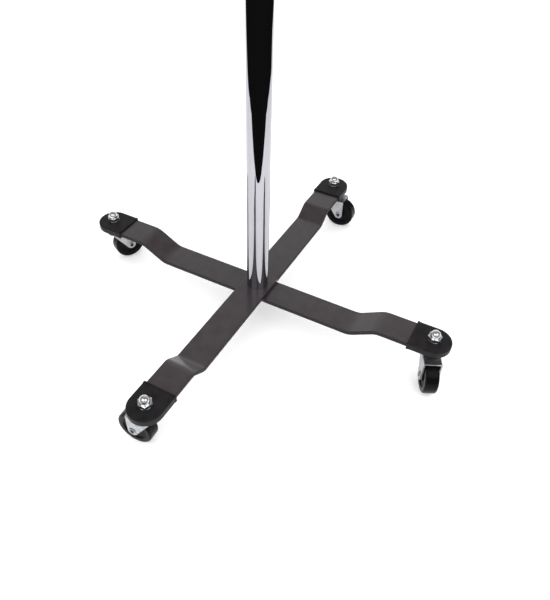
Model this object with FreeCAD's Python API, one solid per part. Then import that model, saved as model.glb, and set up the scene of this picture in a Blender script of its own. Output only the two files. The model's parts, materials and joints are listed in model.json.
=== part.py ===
import FreeCAD, Part
import math
import os

# Telescoping infusion stand on a four-leg rolling base.
# Frame: +Z up, origin on the pole's axis at floor level, millimetres.
# The lower leg bar runs along X, the upper one crosses it along Y.

# ---- legs ----
bar_w = 44.45            # flat steel bar, 1 3/4 in wide
bar_t = 6.0
bar_edge_r = 0.8         # rolled edge of the flat bar
reach_x = 271.0          # pole axis to caster bolt along the lower bar
reach_y = 277.0          # pole axis to caster bolt along the upper bar
centre_drop = 15.2       # upper bar's middle sits this far below its ends
joggle_mid_x = 177.0     # middle of the step in the lower bar
joggle_mid_y = 192.5     # middle of the step in the upper bar
joggle_slope_x = 29.0    # degrees
joggle_slope_y = 33.5    # degrees
bend_r_x = 25.0          # bend radius at mid thickness, lower bar
bend_r_y = 14.0          # bend radius at mid thickness, upper bar

# ---- leg end caps ----
cap_wall = 2.0
cap_roof = 2.5
cap_floor = 2.2
cap_inboard = 30.0       # bolt to the cap's open end
cap_lip = 0.4            # bead round the open end, proud of the wall
cap_lip_len = 2.8
cap_round = 1.6          # rounding of the cap's outer edges
cap_gap = 0.1            # bar to pocket, at the sides and the end

# ---- caster wheels ----
wheel_d = 50.8
wheel_w = 19.0
shoulder_r = 3.3
tyre_t = 6.4             # tyre thickness round the plastic core
core_recess = 1.6        # depth of the dished web on each face
core_hub_wall = 3.9      # hub of the core, round its bush
core_rim = 2.2
hub_float = 0.4          # core hub to fork arm, each side
bush_wall = 1.5
running_gap = 0.08       # radial, wheel bore on its bush and fork on its kingpin

# ---- caster forks ----
trail = 18.5             # swivel axis to wheel axle
sheet_t = 2.0
wheel_to_crown = 2.0
wheel_to_arm = 1.2       # tyre side to fork arm
boss_r = 7.2
arm_front = -8.0         # front end of each arm, from the swivel axis
arm_lip = 1.2            # arm depth below the crown at its front end
crown_land = 3.0         # crown beyond the balls
bend_in_r = 0.6
rivet_r = 4.0            # hollow axle rivet, outside of its shank
rivet_wall = 1.0
rivet_flange = 1.7       # flared rim beyond the shank
rivet_head_h = 1.3

# ---- swivel bearing and stem ----
ball_r = 2.0
ball_count = 12
ball_pitch_r = 9.0
groove_depth = 0.8
ball_gap = 0.05
race_space = 2.5         # crown top to the upper race
race_h = 8.2
race_land = 1.5          # race neck beyond the balls
race_step = 2.25         # race rim beyond its neck
race_neck_h = 2.9
seal_wall = 1.6
seal_gap = 0.3
kingpin_r = 4.0
kingpin_head_r = 7.0
kingpin_head_h = 2.2
kingpin_float = 0.3
stem_r = 5.0             # M10
stem_in_nut = 8.0
bolt_gap = 0.25          # stem to the holes in bar and cap

# ---- nut and washer on each leg end ----
washer_r = 8.8
washer_t = 2.2
washer_slit = 1.8
nut_af = 17.0
nut_hex_h = 5.0
nut_h = 14.1
nut_dome_r = 6.9
nut_chamfer = 0.8

# ---- lower tube and its foot ----
tube_d = 31.75
tube_wall = 1.5
tube_len = 1150.0
plug_h = 25.0
seat_gap = 0.05          # radial, plugs and spigots in their tubes
foot_bolt_r = 6.0        # M12
foot_bolt_bite = 18.0
foot_head_af = 19.0
foot_head_h = 7.5
foot_washer_r = 12.0
foot_washer_t = 2.5

# ---- upper tube ----
mast_d = 25.4
mast_wall = 1.25
mast_len = 1170.0
slide_gap = 0.3          # radial, upper tube in the parts it passes
guide_gap = 0.1          # radial, guide bush in the lower tube
guide_h = 15.0
spigot_len = 20.0
stop_gap = 0.3           # guide bush above the foot plug when lowered
guide_bore_r = 6.0

# ---- twist lock ----
sleeve_len = 40.0
flange_step = 3.6        # flange beyond the lower tube
flange_h = 6.0
neck_wall = 1.0          # at the cone's mouth
neck_h = 18.0
collet_thin = 1.5        # wall of the slit ring at its lower end
collet_thick = 3.3
cone_h = 14.0
collet_gap = 0.05
collet_proud = 3.0
collet_slit = 2.4
collar_wall = 4.7
collar_h = 29.6
collar_float = 0.4
collar_roof = 8.0
collar_grooves = 16
collar_groove_r = 1.7
collar_round = 2.0

# ---- hook head ----
hub_step = 1.8           # hub beyond the upper tube
hub_h = 30.0
hub_spigot_len = 30.0
hub_round = 5.0
hook_r = 4.0
hook_socket_depth = 9.0
hook_z_in_hub = 14.0
hook_arm = 34.0          # hub axis to the start of the first bend
hook_bend_r = 14.0
hook_trough_r = 17.0
hook_tip_rise = 15.0     # straight free end that a bag's eyelet drops over
screw_r = 2.5            # M5
screw_head_r = 4.6
screw_head_h = 2.4
screw_below_top = 13.0
screw_bite = 7.0

# ---- the four leg ends: caster's rest direction in degrees from +X, and how far its nut is turned ----
legs = {
    "right": {"reach": reach_x, "angle": 0.0, "trail_dir": 295.8, "nut_turn": 22.0},
    "rear": {"reach": reach_y, "angle": 90.0, "trail_dir": 0.9, "nut_turn": 40.0},
    "left": {"reach": reach_x, "angle": 180.0, "trail_dir": 64.5, "nut_turn": 12.0},
    "front": {"reach": reach_y, "angle": 270.0, "trail_dir": 181.8, "nut_turn": 36.0},
}

# ---- heights, worked out from the floor up ----
axle_z = wheel_d / 2
crown_under = wheel_d + wheel_to_crown
crown_top = crown_under + sheet_t
race_low = crown_top + race_space
ball_z = crown_top - groove_depth + ball_gap + ball_r
cap_low = race_low + race_h
bar_end_low = cap_low + cap_floor
bar_end_top = bar_end_low + bar_t
cap_top = bar_end_top + cap_roof
nut_low = cap_top + washer_t
upper_bar_top = bar_end_top - centre_drop
lower_bar_top = upper_bar_top - bar_t
lower_bar_low = lower_bar_top - bar_t

tube_r = tube_d / 2
tube_bore_r = tube_r - tube_wall
tube_low = upper_bar_top
tube_top = tube_low + tube_len
plug_top = tube_low + plug_h
mast_r = mast_d / 2
mast_bore_r = mast_r - mast_wall
guide_low = plug_top + stop_gap
mast_low = guide_low + guide_h
mast_top = mast_low + mast_len
hook_z = mast_top + hook_z_in_hub
fork_gap = wheel_w + 2 * wheel_to_arm
fork_half = fork_gap / 2 + sheet_t
bush_r = rivet_r + seat_gap + bush_wall
core_r = wheel_d / 2 - tyre_t
core_hub_r = bush_r + running_gap + core_hub_wall
rivet_bore_r = rivet_r - rivet_wall
rivet_head_r = rivet_r + rivet_flange
crown_r = ball_pitch_r + ball_r + crown_land
race_neck_r = ball_pitch_r + ball_r + race_land
race_r = race_neck_r + race_step
flange_r = tube_r + flange_step
cone_low_r = mast_r + collet_thin
cone_high_r = mast_r + collet_thick
neck_r = cone_high_r + neck_wall
collar_r = neck_r + slide_gap + collar_wall
hub_r = mast_r + hub_step


def vec(x, y, z):
    return FreeCAD.Vector(x, y, z)


def rod(radius, low, high, x=0.0, y=0.0):
    return Part.makeCylinder(radius, high - low, vec(x, y, low))


def block(x0, x1, y0, y1, z0, z1):
    return Part.makeBox(x1 - x0, y1 - y0, z1 - z0, vec(x0, y0, z0))


def turned(outline):
    """Solid turned about Z from a closed (radius, height) outline."""
    points = [vec(r, 0, z) for r, z in outline]
    face = Part.Face(Part.makePolygon(points + points[:1]))
    return face.revolve(vec(0, 0, 0), vec(0, 0, 1), 360)


def hex_prism(across_flats, low, high):
    corner_r = across_flats / math.sqrt(3)
    angles = [math.radians(60 * k) for k in range(6)]
    points = [vec(corner_r * math.cos(a), corner_r * math.sin(a), low) for a in angles]
    face = Part.Face(Part.makePolygon(points + points[:1]))
    return face.extrude(vec(0, 0, high - low))


def along_y(solid):
    """Turn a solid made about Z so that it lies along Y, at the wheel axle."""
    solid = solid.copy()
    solid.rotate(vec(0, 0, 0), vec(1, 0, 0), -90)
    solid.translate(vec(trail, 0, axle_z))
    return solid


def at_leg(solid, leg):
    """Move a solid from the swivel axis at the origin to a leg's caster bolt."""
    solid = solid.copy()
    angle = math.radians(leg["angle"])
    solid.rotate(vec(0, 0, 0), vec(0, 0, 1), leg["angle"])
    solid.translate(vec(leg["reach"] * math.cos(angle), leg["reach"] * math.sin(angle), 0))
    return solid


def trailing(solid, leg):
    """Move a solid from the swivel axis to a leg, turned to its caster's rest direction."""
    turned_solid = solid.copy()
    turned_solid.rotate(vec(0, 0, 0), vec(0, 0, 1), leg["trail_dir"] - leg["angle"])
    return at_leg(turned_solid, leg)


def save(name, solids):
    shape = solids[0] if len(solids) == 1 else Part.makeCompound(solids)
    shape.exportStep("parts/" + name + ".step")


# ---- legs ----
def round_end_plan(inner, reach, half_width, low, high):
    """Strip along +X whose far end is a half circle about the caster bolt."""
    strip = block(inner, reach, -half_width, half_width, low, high)
    return strip.fuse(rod(half_width, low, high, reach)).removeSplitter()


def half_bar(reach, mid, slope_deg, bend_r, middle_top):
    """Half of a leg bar: a flat middle, a step up and a flat end."""
    slope = math.radians(slope_deg)
    rise = bar_end_top - middle_top
    low_z = middle_top - bar_t / 2
    high_z = low_z + rise
    run = rise / math.tan(slope)
    tangent = bend_r * math.tan(slope / 2)
    end = reach + bar_w / 2
    low_centre = vec(mid - run / 2 - tangent, 0, low_z + bend_r)
    high_centre = vec(mid + run / 2 + tangent, 0, high_z - bend_r)

    def side(offset):
        """Points of one face: flat, bend, slope, bend, flat."""
        r_low = bend_r - offset
        r_high = bend_r + offset
        def low_at(a):
            return low_centre + vec(math.sin(a), 0, -math.cos(a)) * r_low
        def high_at(a):
            return high_centre + vec(-math.sin(a), 0, math.cos(a)) * r_high
        return [vec(0, 0, low_z + offset), low_at(0), low_at(slope / 2), low_at(slope),
                high_at(slope), high_at(slope / 2), high_at(0), vec(end, 0, high_z + offset)]

    def edges(p):
        return [Part.LineSegment(p[0], p[1]).toShape(), Part.Arc(p[1], p[2], p[3]).toShape(),
                Part.LineSegment(p[3], p[4]).toShape(), Part.Arc(p[4], p[5], p[6]).toShape(),
                Part.LineSegment(p[6], p[7]).toShape()]

    top = side(bar_t / 2)
    under = side(-bar_t / 2)
    outline = edges(under) + [Part.LineSegment(under[-1], top[-1]).toShape()]
    outline += [edge for edge in reversed(edges(top))]
    outline += [Part.LineSegment(top[0], under[0]).toShape()]
    face = Part.Face(Part.Wire(Part.__sortEdges__(outline)))
    solid = face.extrude(vec(0, bar_w, 0))
    solid.translate(vec(0, -bar_w / 2, 0))
    return solid


def leg_bar(reach, mid, slope_deg, bend_r, middle_top, turn):
    half = half_bar(reach, mid, slope_deg, bend_r, middle_top)
    bar = half.fuse(half.mirror(vec(0, 0, 0), vec(1, 0, 0))).removeSplitter()
    long_edges = [e for e in bar.Edges if abs(abs(e.CenterOfMass.y) - bar_w / 2) < 0.01
                  and abs(e.BoundBox.ZLength) + e.BoundBox.XLength > bar_t + 0.01
                  and e.BoundBox.XLength > 0.01]
    bar = bar.makeFillet(bar_edge_r, long_edges)
    plan = round_end_plan(0, reach, bar_w / 2, 0, cap_top)
    plan = plan.fuse(plan.mirror(vec(0, 0, 0), vec(1, 0, 0))).removeSplitter()
    bar = bar.common(plan)
    bar = bar.cut(rod(foot_bolt_r + bolt_gap, 0, cap_top))
    for x in (-reach, reach):
        bar = bar.cut(rod(stem_r + bolt_gap, 0, cap_top, x))
    bar.rotate(vec(0, 0, 0), vec(0, 0, 1), turn)
    return bar.Solids[0]


def end_cap():
    """Moulded cap over a leg's end, its caster bolt at the origin."""
    half = bar_w / 2 + cap_wall
    body = round_end_plan(-cap_inboard, 0, half, cap_low, cap_top)
    rim_edges = [e for e in body.Edges if e.BoundBox.ZLength < 0.01
                 and e.BoundBox.XMax > -cap_inboard + 0.01]
    body = body.makeFillet(cap_round, rim_edges)
    lip = block(-cap_inboard, -cap_inboard + cap_lip_len, -half - cap_lip, half + cap_lip,
                cap_low - cap_lip, cap_top + cap_lip)
    lip_edges = [e for e in lip.Edges if e.BoundBox.XLength > 0.01]
    lip = lip.makeFillet(cap_round, lip_edges)
    outer_edges = [e for e in lip.Edges if e.BoundBox.XLength < 0.01]
    lip = lip.makeFillet(cap_lip / 2, outer_edges)
    pocket = round_end_plan(-cap_inboard - 1, 0, bar_w / 2 + cap_gap, bar_end_low, bar_end_top)
    cap = body.fuse(lip).cut(pocket)
    return cap.cut(rod(stem_r + bolt_gap, cap_low - 1, cap_top + 1))


def acorn_nut(turn):
    """Domed cap nut, its bolt axis on Z, turned as far as it was tightened."""
    hexagon = hex_prism(nut_af, nut_low, nut_low + nut_hex_h)
    corner_r = nut_af / math.sqrt(3)
    flat_r = nut_af / 2
    trim = turned([(0, nut_low), (flat_r, nut_low), (corner_r, nut_low + nut_chamfer),
                   (corner_r, nut_low + nut_hex_h - nut_chamfer),
                   (flat_r, nut_low + nut_hex_h), (0, nut_low + nut_hex_h)])
    hexagon = hexagon.common(trim)
    dome_z = nut_low + nut_h - nut_dome_r
    dome = Part.makeSphere(nut_dome_r, vec(0, 0, dome_z)).fuse(rod(nut_dome_r, nut_low, dome_z))
    dome = dome.cut(rod(nut_af, nut_low - nut_h, nut_low + nut_hex_h / 2))
    nut = hexagon.fuse(dome).removeSplitter()
    nut = nut.cut(rod(stem_r + seat_gap, nut_low - 1, nut_low + stem_in_nut + bolt_gap))
    nut.rotate(vec(0, 0, 0), vec(0, 0, 1), turn)
    return nut


def cap_washer(turn):
    """Spring lock washer, flattened under its nut, with its slit turned away from the nut's corners."""
    washer = rod(washer_r, cap_top, nut_low)
    outer = [e for e in washer.Edges if abs(e.BoundBox.XLength - 2 * washer_r) < 0.01]
    washer = washer.makeFillet(washer_t / 5, outer)
    washer = washer.cut(rod(stem_r + bolt_gap, cap_top, nut_low))
    washer = washer.cut(block(0, washer_r, -washer_slit / 2, washer_slit / 2, cap_top, nut_low))
    washer.rotate(vec(0, 0, 0), vec(0, 0, 1), 7 * turn)
    return washer


# ---- swivel bearing ----
def caster_stem():
    """Kingpin with its riveted head below the crown and an M10 stem above the race."""
    head_top = crown_under - kingpin_float
    head_low = head_top - kingpin_head_h
    stem_top = nut_low + stem_in_nut
    return turned([(0, head_low), (kingpin_head_r - kingpin_head_h / 2, head_low),
                   (kingpin_head_r, head_low + kingpin_head_h / 2), (kingpin_head_r, head_top),
                   (kingpin_r, head_top), (kingpin_r, race_low), (stem_r, race_low),
                   (stem_r, stem_top - 1), (stem_r - 1, stem_top), (0, stem_top)])


def ball_groove(height):
    return Part.makeTorus(ball_pitch_r, ball_r + ball_gap, vec(0, 0, height))


def upper_race():
    step_z = race_low + race_neck_h
    chamfer = 0.6
    race = turned([(stem_r + seat_gap, race_low), (race_neck_r, race_low), (race_neck_r, step_z),
                   (race_r - chamfer, step_z), (race_r, step_z + chamfer), (race_r, cap_low),
                   (stem_r + seat_gap, cap_low)])
    return race.cut(ball_groove(ball_z))


def dust_seal():
    low = crown_top + seal_gap
    high = race_low + race_neck_h
    inner = race_neck_r + seat_gap
    return rod(inner + seal_wall, low, high).cut(rod(inner, low, high))


def ball_ring():
    steps = [math.radians(360.0 * k / ball_count) for k in range(ball_count)]
    places = [vec(ball_pitch_r * math.cos(a), ball_pitch_r * math.sin(a), ball_z) for a in steps]
    return [Part.makeSphere(ball_r, place) for place in places]


# ---- caster, its swivel axis on Z and its wheel trailing along +X ----
def tangent_point(x, z):
    """Where a line from (x, z) touches the front of the axle boss."""
    dx = trail - x
    dz = axle_z - z
    span = math.hypot(dx, dz)
    lean = math.atan2(dz, dx) - math.asin(boss_r / span)
    length = math.sqrt(span ** 2 - boss_r ** 2)
    return x + length * math.cos(lean), z + length * math.sin(lean)


def fork():
    """Folded steel fork: round raceway crown, roof over the wheel and two tapered arms."""
    rear = trail + boss_r
    low = axle_z - boss_r
    outer = block(arm_front, rear, -fork_half, fork_half, low, crown_top)
    outer_bends = [e for e in outer.Edges if e.BoundBox.XLength > 1
                   and e.BoundBox.ZMin > crown_top - 0.01]
    outer = outer.makeFillet(bend_in_r + sheet_t, outer_bends)
    inner = block(arm_front - 1, rear + 1, -fork_gap / 2, fork_gap / 2, low - 1, crown_under)
    inner_bends = [e for e in inner.Edges if e.BoundBox.XLength > 1
                   and e.BoundBox.ZMin > crown_under - 0.01]
    channel = outer.cut(inner.makeFillet(bend_in_r, inner_bends))
    lip_z = crown_under - arm_lip
    touch_x, touch_z = tangent_point(arm_front, lip_z)
    outline = [(arm_front, crown_top), (rear, crown_top), (rear, axle_z), (trail, axle_z),
               (touch_x, touch_z), (arm_front, lip_z)]
    points = [vec(x, -fork_half - 1, z) for x, z in outline]
    side = Part.Face(Part.makePolygon(points + points[:1])).extrude(vec(0, 2 * fork_half + 2, 0))
    side = side.fuse(along_y(rod(boss_r, -fork_half - 1, fork_half + 1)))
    channel = channel.common(side)
    crown = rod(crown_r, crown_under, crown_top)
    rims = [e for e in crown.Edges if abs(e.BoundBox.XLength - 2 * crown_r) < 0.01]
    crown = crown.makeFillet(bend_in_r, rims)
    shape = channel.fuse(crown).removeSplitter()
    shape = shape.cut(rod(kingpin_r + running_gap, crown_under - 1, crown_top + 1))
    shape = shape.cut(ball_groove(ball_z))
    shape = shape.cut(along_y(rod(rivet_r + seat_gap, -fork_half - 1, fork_half + 1)))
    return shape.Solids[0]


def axle_rivet():
    """Hollow rivet closed over both fork arms by flared rims."""
    end = fork_half + rivet_head_h
    flare = rivet_head_r - rivet_r
    outline = [(rivet_bore_r, -end + flare / 2), (rivet_bore_r + flare / 2, -end),
               (rivet_head_r - rivet_head_h / 2, -end), (rivet_head_r, -end + rivet_head_h / 2),
               (rivet_head_r, -fork_half), (rivet_r, -fork_half), (rivet_r, fork_half),
               (rivet_head_r, fork_half), (rivet_head_r, end - rivet_head_h / 2),
               (rivet_head_r - rivet_head_h / 2, end), (rivet_bore_r + flare / 2, end),
               (rivet_bore_r, end - flare / 2)]
    return along_y(turned(outline))


def axle_bush():
    half = fork_gap / 2
    return along_y(rod(bush_r, -half, half).cut(rod(rivet_r + seat_gap, -half, half)))


def wheel_core():
    """Moulded core with a dished web and a hub that turns on the bush."""
    half = wheel_w / 2
    hub_half = fork_gap / 2 - hub_float
    rim_r = core_r
    bore = bush_r + running_gap
    web = half - core_recess
    outline = [(bore, -hub_half), (core_hub_r - 1, -hub_half), (core_hub_r, -web),
               (rim_r - core_rim - 1, -web), (rim_r - core_rim, -half), (rim_r, -half),
               (rim_r, half), (rim_r - core_rim, half), (rim_r - core_rim - 1, web),
               (core_hub_r, web), (core_hub_r - 1, hub_half), (bore, hub_half)]
    return along_y(turned(outline))


def wheel_tyre():
    half = wheel_w / 2
    outer = rod(wheel_d / 2, -half, half)
    shoulders = [e for e in outer.Edges if abs(e.BoundBox.XLength - wheel_d) < 0.01
                 and e.BoundBox.ZLength < 0.01]
    outer = outer.makeFillet(shoulder_r, shoulders)
    return along_y(outer.cut(rod(core_r, -half, half)))


# ---- pole ----
def outer_tube():
    return rod(tube_r, tube_low, tube_top).cut(rod(tube_bore_r, tube_low, tube_top))


def foot_plug():
    plug = rod(tube_bore_r - seat_gap, tube_low, plug_top)
    return plug.cut(rod(foot_bolt_r + seat_gap, tube_low, plug_top))


def foot_washer():
    low = lower_bar_low - foot_washer_t
    return rod(foot_washer_r, low, lower_bar_low).cut(rod(foot_bolt_r + bolt_gap, low, lower_bar_low))


def foot_bolt():
    """Hex bolt from below, through both bars into the plug."""
    head_top = lower_bar_low - foot_washer_t
    head = hex_prism(foot_head_af, head_top - foot_head_h, head_top)
    return head.fuse(rod(foot_bolt_r, head_top, tube_low + foot_bolt_bite)).removeSplitter()


def screw_hole(radius, start, end):
    """Radial cylinder along +Y at the set screw's height."""
    height = mast_top - screw_below_top
    return Part.makeCylinder(radius, end - start, vec(0, start, height), vec(0, 1, 0))


def inner_tube():
    tube = rod(mast_r, mast_low, mast_top).cut(rod(mast_bore_r, mast_low, mast_top))
    return tube.cut(screw_hole(screw_r + bolt_gap, 0, mast_r + 1))


def guide_bush():
    """Flanged plastic plug in the upper tube's lower end, running in the lower tube."""
    flange = rod(tube_bore_r - guide_gap, guide_low, mast_low)
    spigot = rod(mast_bore_r - seat_gap, mast_low, mast_low + spigot_len)
    bore = rod(guide_bore_r, guide_low, mast_low + spigot_len)
    return flange.fuse(spigot).removeSplitter().cut(bore)


# ---- twist lock ----
def collet_body():
    """Sleeve pressed into the lower tube's mouth, with a flange and a coned neck."""
    bore = mast_r + slide_gap
    neck_low = tube_top + flange_h
    neck_top = neck_low + neck_h
    cone_low = neck_top - cone_h
    fit_r = tube_bore_r - seat_gap
    return turned([(bore, tube_top - sleeve_len), (fit_r, tube_top - sleeve_len), (fit_r, tube_top),
                   (flange_r, tube_top), (flange_r, neck_low), (neck_r, neck_low),
                   (neck_r, neck_top), (cone_high_r, neck_top), (cone_low_r, cone_low),
                   (bore, cone_low)])


def split_collet():
    """Coned ring slit on one side, squeezed on to the upper tube by the collar."""
    neck_top = tube_top + flange_h + neck_h
    low = neck_top - cone_h + collet_gap
    top = neck_top + collet_proud
    bore = mast_r + collet_gap
    ring = turned([(bore, low), (cone_low_r - collet_gap, low), (cone_high_r - collet_gap, neck_top),
                   (cone_low_r, top), (bore, top)])
    slit = block(0, neck_r, -collet_slit / 2, collet_slit / 2, low - 1, top + 1)
    return ring.cut(slit)


def lock_collar():
    """Grooved grip that turns on the neck."""
    low = tube_top + flange_h + collar_float
    top = low + collar_h
    roof_low = top - collar_roof
    neck_clear = neck_r + slide_gap
    body = rod(collar_r, low, top)
    rims = [e for e in body.Edges if e.BoundBox.ZLength < 0.01]
    body = body.makeFillet(collar_round, rims)
    for k in range(collar_grooves):
        angle = math.radians(360.0 * (k + 0.5) / collar_grooves)
        x = (collar_r + collar_groove_r / 2) * math.cos(angle)
        y = (collar_r + collar_groove_r / 2) * math.sin(angle)
        body = body.cut(rod(collar_groove_r, low - 1, top + 1, x, y))
    hollow = rod(neck_clear, low - 1, roof_low)
    return body.cut(hollow).cut(rod(mast_r + slide_gap, low, top + 1))


# ---- hook head ----
def hook_hub():
    """Turned plug in the upper tube's mouth, bored for the two hooks."""
    head = rod(hub_r, mast_top, mast_top + hub_h)
    upper_rim = [e for e in head.Edges if e.BoundBox.ZMin > mast_top + hub_h - 0.01
                 and e.BoundBox.ZLength < 0.01]
    head = head.makeFillet(hub_round, upper_rim)
    spigot = rod(mast_bore_r - seat_gap, mast_top - hub_spigot_len, mast_top)
    hub = head.fuse(spigot).removeSplitter()
    for sign in (-1, 1):
        start = vec(sign * (hub_r - hook_socket_depth), 0, hook_z)
        hub = hub.cut(Part.makeCylinder(hook_r + seat_gap, hub_r, start, vec(sign, 0, 0)))
    return hub.cut(screw_hole(screw_r + seat_gap, mast_r - mast_wall - screw_bite, mast_r))


def hook(sign):
    """Bent rod from the hub: out, down, round the trough and up to a rounded tip."""
    start_x = hub_r - hook_socket_depth
    drop_x = hook_arm + hook_bend_r
    drop_z = hook_z - hook_bend_r
    trough_x = drop_x + hook_trough_r
    tip_x = trough_x + hook_trough_r
    tip_z = drop_z + hook_tip_rise
    diagonal = math.sqrt(0.5)
    bend_mid = (hook_arm + hook_bend_r * diagonal, drop_z + hook_bend_r * diagonal)

    def at(x, z):
        return vec(sign * x, 0, z)

    path = Part.Wire([
        Part.LineSegment(at(start_x, hook_z), at(hook_arm, hook_z)).toShape(),
        Part.Arc(at(hook_arm, hook_z), at(*bend_mid), at(drop_x, drop_z)).toShape(),
        Part.Arc(at(drop_x, drop_z), at(trough_x, drop_z - hook_trough_r), at(tip_x, drop_z)).toShape(),
        Part.LineSegment(at(tip_x, drop_z), at(tip_x, tip_z)).toShape(),
    ])
    circle = Part.Circle(at(start_x, hook_z), vec(sign, 0, 0), hook_r)
    bent = path.makePipeShell([Part.Wire(circle.toShape())], True, True)
    return bent.fuse(Part.makeSphere(hook_r, at(tip_x, tip_z))).removeSplitter()


def hub_screw():
    height = mast_top - screw_below_top
    shank = screw_hole(screw_r, mast_bore_r - screw_bite + bolt_gap, mast_r + bolt_gap)
    head = screw_hole(screw_head_r, mast_r + bolt_gap, mast_r + bolt_gap + screw_head_h)
    rim = [e for e in head.Edges if e.BoundBox.YMin > mast_r + bolt_gap + screw_head_h - 0.01]
    head = head.makeFillet(screw_head_h / 2, rim)
    drive = hex_prism(screw_r * 1.2, 0, screw_head_h)
    drive.rotate(vec(0, 0, 0), vec(1, 0, 0), -90)
    drive.translate(vec(0, mast_r + bolt_gap + screw_head_h / 3, height))
    return shank.fuse(head).removeSplitter().cut(drive)


os.makedirs("parts", exist_ok=True)

save("lower_cross_bar", [leg_bar(reach_x, joggle_mid_x, joggle_slope_x, bend_r_x, lower_bar_top, 0)])
save("upper_cross_bar", [leg_bar(reach_y, joggle_mid_y, joggle_slope_y, bend_r_y, upper_bar_top, 90)])
save("outer_tube", [outer_tube()])
save("foot_plug", [foot_plug()])
save("foot_bolt", [foot_bolt()])
save("foot_washer", [foot_washer()])

for leg_name, leg in legs.items():
    save("end_cap_" + leg_name, [at_leg(end_cap(), leg)])
    save("fork_" + leg_name, [trailing(fork(), leg)])
    save("axle_rivet_" + leg_name, [trailing(axle_rivet(), leg)])
    save("axle_bush_" + leg_name, [trailing(axle_bush(), leg)])
    save("wheel_core_" + leg_name, [trailing(wheel_core(), leg)])
    save("wheel_tyre_" + leg_name, [trailing(wheel_tyre(), leg)])

save("acorn_nuts", [at_leg(acorn_nut(leg["nut_turn"]), leg) for leg in legs.values()])
save("cap_washers", [at_leg(cap_washer(leg["nut_turn"]), leg) for leg in legs.values()])
save("caster_stems", [at_leg(caster_stem(), leg) for leg in legs.values()])
save("upper_races", [at_leg(upper_race(), leg) for leg in legs.values()])
save("dust_seals", [at_leg(dust_seal(), leg) for leg in legs.values()])
save("bearing_balls", [at_leg(ball, leg) for leg in legs.values() for ball in ball_ring()])

save("collet_body", [collet_body()])
save("split_collet", [split_collet()])
save("lock_collar", [lock_collar()])
save("inner_tube", [inner_tube()])
save("guide_bush", [guide_bush()])
save("hook_hub", [hook_hub()])
save("hook_left", [hook(-1)])
save("hook_right", [hook(1)])
save("hub_screw", [hub_screw()])
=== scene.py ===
# Rolling infusion stand: finishes, floor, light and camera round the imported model.
import bpy
import bmesh
import json
import math
from mathutils import Matrix, Vector

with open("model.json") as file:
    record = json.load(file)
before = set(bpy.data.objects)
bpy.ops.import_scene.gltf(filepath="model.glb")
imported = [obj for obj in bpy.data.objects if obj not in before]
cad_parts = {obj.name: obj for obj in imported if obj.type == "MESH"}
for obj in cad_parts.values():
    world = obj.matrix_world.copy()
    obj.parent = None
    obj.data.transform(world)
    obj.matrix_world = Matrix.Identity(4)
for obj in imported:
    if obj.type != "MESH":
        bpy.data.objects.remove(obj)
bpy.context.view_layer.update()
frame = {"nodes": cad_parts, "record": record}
nodes = frame["nodes"]


class Value:  # a shader socket that can be used in Python sums
    def __init__(self, finish, socket):
        self.finish = finish
        self.socket = socket

    def __add__(self, other):
        return self.finish.maths("ADD", self, other)

    def __sub__(self, other):
        return self.finish.maths("SUBTRACT", self, other)

    def __mul__(self, other):
        return self.finish.maths("MULTIPLY", self, other)

    def __rsub__(self, other):
        return self.finish.maths("SUBTRACT", other, self)

    __radd__ = __add__


class Finish:  # one material and the nodes that make it
    def __init__(self, name):
        self.material = bpy.data.materials.new(name)
        self.material.use_nodes = True
        self.tree = self.material.node_tree
        self.tree.nodes.clear()
        self.place = self.add("ShaderNodeTexCoord", out="Object")

    def add(self, kind, settings=None, sockets=None, out=0):
        node = self.tree.nodes.new(kind)
        for key, setting in (settings or {}).items():
            setattr(node, key, setting)
        for key, given in (sockets or {}).items():
            if isinstance(given, Value):
                self.tree.links.new(given.socket, node.inputs[key])
            else:
                node.inputs[key].default_value = given
        return Value(self, node.outputs[out])

    def maths(self, operation, first, second=0.0):  # ABSOLUTE leaves the second out of account
        return self.add("ShaderNodeMath", {"operation": operation}, {0: first, 1: second})

    def noise(self, scale, detail=3.0, roughness=0.5, stretch=(1, 1, 1)):
        place = self.place
        if stretch != (1, 1, 1):
            place = self.add("ShaderNodeMapping", {"vector_type": "POINT"},
                             {"Vector": self.place, "Scale": stretch})
        return self.add("ShaderNodeTexNoise", {"noise_dimensions": "3D"},
                        {"Vector": place, "Scale": scale, "Detail": detail, "Roughness": roughness})

    def ramp(self, value, low, high):
        return self.add("ShaderNodeMapRange", {"clamp": True, "interpolation_type": "SMOOTHSTEP"},
                        {"Value": value, "From Min": low, "From Max": high, "To Min": 0.0, "To Max": 1.0})

    def mix(self, factor, first, second):
        return self.add("ShaderNodeMix", {"data_type": "RGBA", "clamp_factor": True},
                        {0: factor, 6: (*first, 1) if isinstance(first, tuple) else first,
                         7: (*second, 1) if isinstance(second, tuple) else second}, out=2)

    def bump(self, height, strength, distance, normal=None):
        sockets = {"Height": height, "Strength": strength, "Distance": distance}
        if normal is not None:
            sockets["Normal"] = normal
        return self.add("ShaderNodeBump", {}, sockets)

    def finishWith(self, **inputs):
        named = {key.replace("_", " "): given for key, given in inputs.items()}
        shader = self.add("ShaderNodeBsdfPrincipled", {}, named)
        output = self.tree.nodes.new("ShaderNodeOutputMaterial")
        self.tree.links.new(shader.socket, output.inputs["Surface"])
        return self.material


def chrome(name, look):
    # plated mirror metal: faint haze, wiping marks along the length, slow waviness of the tube wall
    f = Finish(name)
    haze = f.noise(look["hazeScale"], 4, 0.6)
    wipe = f.noise(look["wipeScale"], 3, 0.6, look["wipeStretch"])
    rough = look["roughness"] + haze * look["haze"] + f.ramp(wipe, 0.55, 0.8) * look["wipe"]
    tone = f.mix(f.ramp(haze, 0.35, 0.75), look["bright"], look["dull"])
    wave = f.noise(look["waveScale"], 1, 0.3, look["waveStretch"])
    normal = f.bump(wave, look["wave"], 0.001)
    return f.finishWith(Base_Color=tone, Metallic=1.0, Roughness=rough, Normal=normal)


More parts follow.
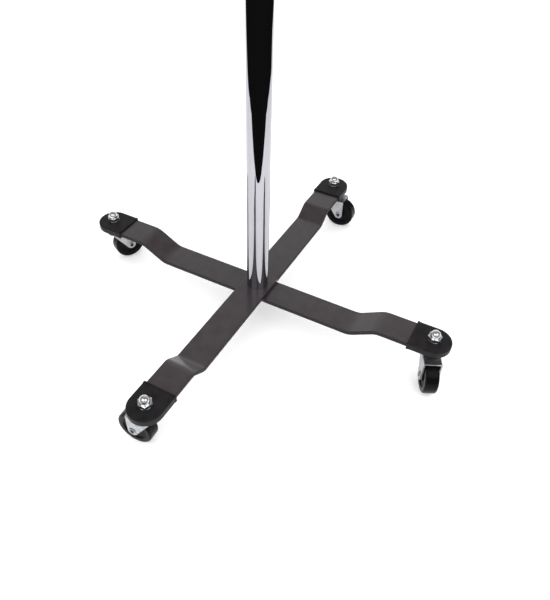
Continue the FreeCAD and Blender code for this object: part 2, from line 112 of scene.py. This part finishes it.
def barCoating():
    # satin coat with a fine fleck; on the sheared sides of the bars, which are the faces farther from both
    # bars' middle lines than sideFrom, the colour is painted darker as painted shade, and the coat is
    # thinner and rougher there
    look = {"dark": (0.0195, 0.0161, 0.0179), "light": (0.0350, 0.0298, 0.0325),
            # side is a painted shade colour for the sheared sides of the bars
            "side": (0.010, 0.0088, 0.0094), "sideFrom": 0.02175, "sideTo": 0.02205, "sideRough": 0.3,
            "roughness": 0.34, "worn": 0.10, "glint": 0.08, "metallic": 0.1,
            "fleckScale": 1500, "fleckBump": 0.05, "mottleScale": 55, "peelScale": 420, "peelBump": 0.10,
            "mottleShare": 0.6, "fleckShare": 0.4, "specular": 0.42, "tint": (1.0, 0.90, 0.95, 1),
            "coat": 0.62, "coatLostAtSide": 0.6, "coatRoughness": 0.14}
    f = Finish("barCoating")
    mottle = f.noise(look["mottleScale"], 5, 0.65)
    fleck = f.noise(look["fleckScale"], 1, 0.5)
    peel = f.noise(look["peelScale"], 2, 0.5)
    across = [f.add("ShaderNodeSeparateXYZ", {}, {"Vector": f.place}, out=axis) for axis in (0, 1)]
    across = [f.maths("ABSOLUTE", distance) for distance in across]
    side = f.ramp(f.maths("MINIMUM", *across), look["sideFrom"], look["sideTo"])
    blend = f.ramp(mottle, 0.3, 0.7) * look["mottleShare"] + f.ramp(fleck, 0.55, 0.75) * look["fleckShare"]
    # the sheared sides get the side colour: painted shade
    colour = f.mix(side, f.mix(blend, look["dark"], look["light"]), look["side"])
    rough = (look["roughness"] + f.ramp(mottle, 0.3, 0.75) * look["worn"]
             - f.ramp(fleck, 0.6, 0.8) * look["glint"] + side * look["sideRough"])
    normal = f.bump(peel, look["peelBump"], 0.0004, f.bump(fleck, look["fleckBump"], 0.0002))
    return f.finishWith(Base_Color=colour, Metallic=look["metallic"], Roughness=rough, Normal=normal,
                        Specular_IOR_Level=look["specular"], Specular_Tint=look["tint"],
                        Coat_Weight=look["coat"] - side * look["coatLostAtSide"],
                        Coat_Roughness=look["coatRoughness"])


def zincPlate():
    # bright zinc with pale clouds, a warm tint in places and a fine grain
    look = {"pale": (0.46, 0.472, 0.49), "cloud": (0.37, 0.378, 0.39), "warm": (0.43, 0.42, 0.38),
            "cloudScale": 120, "grainScale": 900, "tintScale": 45, "tintShare": 0.35,
            "roughness": 0.26, "cloudRough": 0.16, "grainRough": 0.06, "grainBump": 0.12}
    f = Finish("zincPlate")
    cloud = f.noise(look["cloudScale"], 5, 0.6)
    grain = f.noise(look["grainScale"], 2, 0.5)
    tint = f.noise(look["tintScale"], 2, 0.5)
    colour = f.mix(f.ramp(cloud, 0.35, 0.7), look["pale"], look["cloud"])
    colour = f.mix(f.ramp(tint, 0.55, 0.75) * look["tintShare"], colour, look["warm"])
    rough = look["roughness"] + f.ramp(cloud, 0.3, 0.7) * look["cloudRough"] + grain * look["grainRough"]
    return f.finishWith(Base_Color=colour, Metallic=1.0, Roughness=rough,
                        Normal=f.bump(grain, look["grainBump"], 0.0002))


def brightSteel():
    # bare steel with fine marks from its machining
    look = {"dark": (0.50, 0.50, 0.50), "light": (0.62, 0.62, 0.61), "turningScale": 700,
            "turningStretch": (1, 1, 8), "roughness": 0.22, "turningRough": 0.15, "turningBump": 0.1}
    f = Finish("brightSteel")
    turning = f.noise(look["turningScale"], 2, 0.5, look["turningStretch"])
    return f.finishWith(Base_Color=f.mix(turning, look["dark"], look["light"]), Metallic=1.0,
                        Roughness=look["roughness"] + turning * look["turningRough"],
                        Normal=f.bump(turning, look["turningBump"], 0.0001))


def mouldedPlastic(name, look):
    # black or pale moulding: spark-eroded grain, slight mottling and rubbed high spots
    f = Finish(name)
    grain = f.noise(look["grainScale"], 2, 0.6)
    mottle = f.noise(look["mottleScale"], 4, 0.6)
    colour = f.mix(f.ramp(mottle, 0.3, 0.75), look["dark"], look["light"])
    rough = look["roughness"] + f.ramp(mottle, 0.35, 0.7) * 0.10 + grain * 0.08
    return f.finishWith(Base_Color=colour, Roughness=rough, Specular_IOR_Level=look["shine"],
                        Normal=f.bump(grain, look["grain"], 0.0003))


def wheelTread():
    # smooth polished tread with rolling scuffs and a little floor dust
    look = {"dark": (0.0020, 0.0018, 0.0020), "dust": (0.008, 0.0068, 0.0066), "dustShare": 0.55,
            "scuffScale": 160, "dustScale": 48, "fineScale": 1100, "fineBump": 0.05,
            "roughness": 0.20, "scuffRough": 0.22, "dustRough": 0.15, "shine": 0.09}
    f = Finish("wheelTread")
    scuff = f.noise(look["scuffScale"], 5, 0.7)
    dust = f.noise(look["dustScale"], 4, 0.6)
    fine = f.noise(look["fineScale"], 2, 0.5)
    colour = f.mix(f.ramp(dust, 0.52, 0.80) * look["dustShare"], look["dark"], look["dust"])
    rough = (look["roughness"] + f.ramp(scuff, 0.45, 0.75) * look["scuffRough"]
             + f.ramp(dust, 0.5, 0.8) * look["dustRough"])
    return f.finishWith(Base_Color=colour, Roughness=rough, Specular_IOR_Level=look["shine"],
                        Normal=f.bump(fine, look["fineBump"], 0.0002))


def sealRubber():
    # dull rubber with a light bloom
    look = {"dark": (0.012, 0.012, 0.012), "bloom": (0.030, 0.029, 0.029), "grainScale": 600,
            "roughness": 0.55, "grainRough": 0.15, "grainBump": 0.2}
    f = Finish("sealRubber")
    grain = f.noise(look["grainScale"], 3, 0.6)
    return f.finishWith(Base_Color=f.mix(grain, look["dark"], look["bloom"]),
                        Roughness=look["roughness"] + grain * look["grainRough"],
                        Normal=f.bump(grain, look["grainBump"], 0.0003))


poleLook = {"bright": (0.430, 0.426, 0.459), "dull": (0.403, 0.400, 0.432), "roughness": 0.010,
            "haze": 0.015, "wipe": 0.025, "hazeScale": 25, "wipeScale": 260, "wipeStretch": (1, 1, 0.05),
            "wave": 0.02, "waveScale": 22, "waveStretch": (1, 1, 0.25)}
nutLook = {"bright": (0.78, 0.79, 0.80), "dull": (0.70, 0.71, 0.73), "roughness": 0.06,
           "haze": 0.05, "wipe": 0.04, "hazeScale": 150, "wipeScale": 500, "wipeStretch": (1, 1, 1),
           "wave": 0.05, "waveScale": 160, "waveStretch": (1, 1, 1)}
capLook = {"dark": (0.0055, 0.0046, 0.0053), "light": (0.0115, 0.0100, 0.0112), "roughness": 0.44,
           "shine": 0.21, "grainScale": 1300, "grain": 0.22, "mottleScale": 90}
coreLook = {"dark": (0.002, 0.002, 0.0023), "light": (0.005, 0.005, 0.0055), "roughness": 0.32,
            "shine": 0.07, "grainScale": 1500, "grain": 0.08, "mottleScale": 120}
lockLook = {"dark": (0.009, 0.009, 0.010), "light": (0.018, 0.018, 0.019), "roughness": 0.40,
            "shine": 0.4, "grainScale": 1100, "grain": 0.25, "mottleScale": 70}
guideLook = {"dark": (0.66, 0.64, 0.58), "light": (0.76, 0.74, 0.69), "roughness": 0.38,
             "shine": 0.5, "grainScale": 900, "grain": 0.1, "mottleScale": 60}

finishes = {
    "bar_coating": barCoating(),
    "pole_chrome": chrome("poleChrome", poleLook),
    "nut_chrome": chrome("nutChrome", nutLook),
    "zinc_plate": zincPlate(),
    "bright_steel": brightSteel(),
    "cap_plastic": mouldedPlastic("capPlastic", capLook),
    "wheel_core_plastic": mouldedPlastic("wheelCorePlastic", coreLook),
    "lock_plastic": mouldedPlastic("lockPlastic", lockLook),
    "guide_plastic": mouldedPlastic("guidePlastic", guideLook),
    "wheel_tread": wheelTread(),
    "seal_rubber": sealRubber(),
}

for subpart in frame["record"]["subparts"]:
    mesh = nodes[subpart["node"]].data
    mesh.materials.clear()
    mesh.materials.append(finishes[subpart["material_slot"]])
print("finishes on", len(nodes), "model nodes")


def stageObject(name, shape, finish):
    mesh = bpy.data.meshes.new(name)
    shape.to_mesh(mesh)
    shape.free()
    mesh.materials.append(finish)
    item = bpy.data.objects.new(name, mesh)
    bpy.context.scene.collection.objects.link(item)
    return item


floorLook = {"width": 16.0, "cool": (0.86, 0.86, 0.865), "warm": (0.88, 0.88, 0.88), "toneScale": 3,
             "roughness": 0.65, "glow": 0.22}


def paleFloor():
    f = Finish("paleFloor")
    tone = f.noise(floorLook["toneScale"], 2, 0.5)
    return f.finishWith(Base_Color=f.mix(tone, floorLook["cool"], floorLook["warm"]),
                        Roughness=floorLook["roughness"],
                        Emission_Color=(1, 1, 1, 1), Emission_Strength=floorLook["glow"])


floorShape = bmesh.new()
bmesh.ops.create_grid(floorShape, x_segments=2, y_segments=2, size=floorLook["width"] / 2)
stageObject("floor", floorShape, paleFloor())

view = {"azimuth": 28.96, "elevation": 43.88, "roll": 0.46, "distance": 0.95551, "aimHeight": 0.01558,
        "lens": 36.72, "shift": (0.0294, 0.0051)}
azimuth, elevation = math.radians(view["azimuth"]), math.radians(view["elevation"])
towardsCamera = Vector((math.sin(azimuth), -math.cos(azimuth), 0))

# This dark surround is a painted reflection: only reflections see it, so in them the pale floor seems to end
# in front of the stand and at its sides.
# The edge is given for one half as (across, towards the camera); reach is how far out each point is drawn.
surround = {"height": 0.002, "dark": (0.003, 0.003, 0.003), "light": (0.005, 0.005, 0.005),
            "toneScale": 2, "roughness": 0.9, "shine": 0.05,
            "edge": [(0.0, 0.393), (0.26, 0.375), (0.44, 0.335), (0.63, 0.26), (0.76, 0.05), (0.86, -0.5),
                     (0.95, -1.2)],
            "reach": [7.6, 5.2, 4.2, 3.6, 3.2, 3.0, 2.8]}


def blackCard():
    # painted reflection: a dark card that only reflections see
    f = Finish("blackCard")
    tone = f.noise(surround["toneScale"])
    return f.finishWith(Base_Color=f.mix(tone, surround["dark"], surround["light"]),
                        Roughness=surround["roughness"], Specular_IOR_Level=surround["shine"])


def darkSurround():
    side = towardsCamera.cross(Vector((0, 0, 1)))
    half = list(zip(surround["edge"], surround["reach"]))
    edge = [((-across, along), reach) for (across, along), reach in reversed(half[1:])] + half
    shape = bmesh.new()
    rows = []
    for (across, along), reach in edge:
        outward = Vector((across, along, 0)).normalized() * reach
        rows.append([shape.verts.new(side * x + towardsCamera * y + Vector((0, 0, surround["height"])))
                     for x, y in ((across, along), (outward.x, outward.y))])
    for first, second in zip(rows, rows[1:]):
        shape.faces.new((first[0], first[1], second[1], second[0]))
    bmesh.ops.recalc_face_normals(shape, faces=shape.faces)
    card = stageObject("darkSurround", shape, blackCard())
    for ray in ("camera", "diffuse", "shadow", "transmission", "volume_scatter"):
        setattr(card, "visible_" + ray, False)


darkSurround()


# The fill whitens the floor and stays out of reflections; the two boxes give the plated parts highlights.
lamps = {
    "overheadFill": {"place": (0, 0, 6.0), "aim": (0, 0, 0), "size": (30.0, 30.0), "power": 2900,
                     "inReflections": False},
    "rightBox": {"place": (1.032, -0.460, 1.18), "aim": (0, 0, 0.05), "size": (1.20, 1.00), "power": 5.5,
                 "inReflections": True},
    "leftBox": {"place": (-0.157, -1.119, 1.18), "aim": (0, 0, 0.05), "size": (1.20, 1.00), "power": 5.5,
                "inReflections": True},
}


def softbox(name, lamp):
    light = bpy.data.lights.new(name, "AREA")
    light.shape = "RECTANGLE"
    light.size, light.size_y = lamp["size"]
    light.energy = lamp["power"]
    box = bpy.data.objects.new(name, light)
    box.location = lamp["place"]
    box.rotation_euler = (Vector(lamp["aim"]) - Vector(lamp["place"])).to_track_quat("-Z", "Y").to_euler()
    box.visible_glossy = lamp["inReflections"]
    box.visible_camera = False
    bpy.context.scene.collection.objects.link(box)


for name, lamp in lamps.items():
    softbox(name, lamp)


def studioWorld():
    # a bright backdrop behind the stand, a dim room and a glow at the horizon;
    # seen directly it is plain white
    look = {"towards": (-0.35, 0.88, 0.20), "dim": 0.36, "bright": 0.92, "from": 0.60, "to": 0.96,
            "horizon": 0.95, "glowTop": 0.30}
    world = bpy.data.worlds.new("studio")
    world.use_nodes = True
    tree = world.node_tree
    tree.nodes.clear()
    place = tree.nodes.new("ShaderNodeTexCoord")
    facing = tree.nodes.new("ShaderNodeVectorMath")
    ramp = tree.nodes.new("ShaderNodeMapRange")
    heights = tree.nodes.new("ShaderNodeSeparateXYZ")
    glow = tree.nodes.new("ShaderNodeMapRange")
    brighter = tree.nodes.new("ShaderNodeMath")
    room = tree.nodes.new("ShaderNodeBackground")
    plain = tree.nodes.new("ShaderNodeBackground")
    ray = tree.nodes.new("ShaderNodeLightPath")
    sky = tree.nodes.new("ShaderNodeMixShader")
    output = tree.nodes.new("ShaderNodeOutputWorld")
    facing.operation = "DOT_PRODUCT"
    facing.inputs[1].default_value = Vector(look["towards"]).normalized()
    brighter.operation = "MAXIMUM"
    plain.inputs["Color"].default_value = (1, 1, 1, 1)
    for node, start, end, low, high in ((ramp, look["from"], look["to"], look["dim"], look["bright"]),
                                        (glow, 0.0, look["glowTop"], look["horizon"], look["dim"])):
        node.interpolation_type = "SMOOTHSTEP"
        for key, setting in {"From Min": start, "From Max": end, "To Min": low, "To Max": high}.items():
            node.inputs[key].default_value = setting
    for giver, given, taker, taken in (
            (place, "Generated", facing, 0), (facing, "Value", ramp, "Value"),
            (place, "Generated", heights, "Vector"), (heights, "Z", glow, "Value"),
            (ramp, "Result", brighter, 0), (glow, "Result", brighter, 1),
            (brighter, "Value", room, "Strength"), (ray, "Is Camera Ray", sky, "Fac"),
            (room, "Background", sky, 1), (plain, "Background", sky, 2), (sky, "Shader", output, "Surface")):
        tree.links.new(giver.outputs[given], taker.inputs[taken])
    bpy.context.scene.world = world


studioWorld()

camera = bpy.data.objects.new("camera", bpy.data.cameras.new("camera"))
back = Vector((towardsCamera.x * math.cos(elevation), towardsCamera.y * math.cos(elevation),
               math.sin(elevation)))
turn = (Matrix.Rotation(azimuth, 4, "Z") @ Matrix.Rotation(math.pi / 2 - elevation, 4, "X")
        @ Matrix.Rotation(math.radians(view["roll"]), 4, "Z"))
camera.location = Vector((0, 0, view["aimHeight"])) + back * view["distance"]
camera.rotation_euler = turn.to_euler()
camera.data.lens = view["lens"]
camera.data.shift_x, camera.data.shift_y = view["shift"]
camera.data.clip_start = 0.01
bpy.context.scene.collection.objects.link(camera)
bpy.context.scene.camera = camera
bpy.context.scene.view_settings.view_transform = "Standard"
print("camera, light and floor are set")
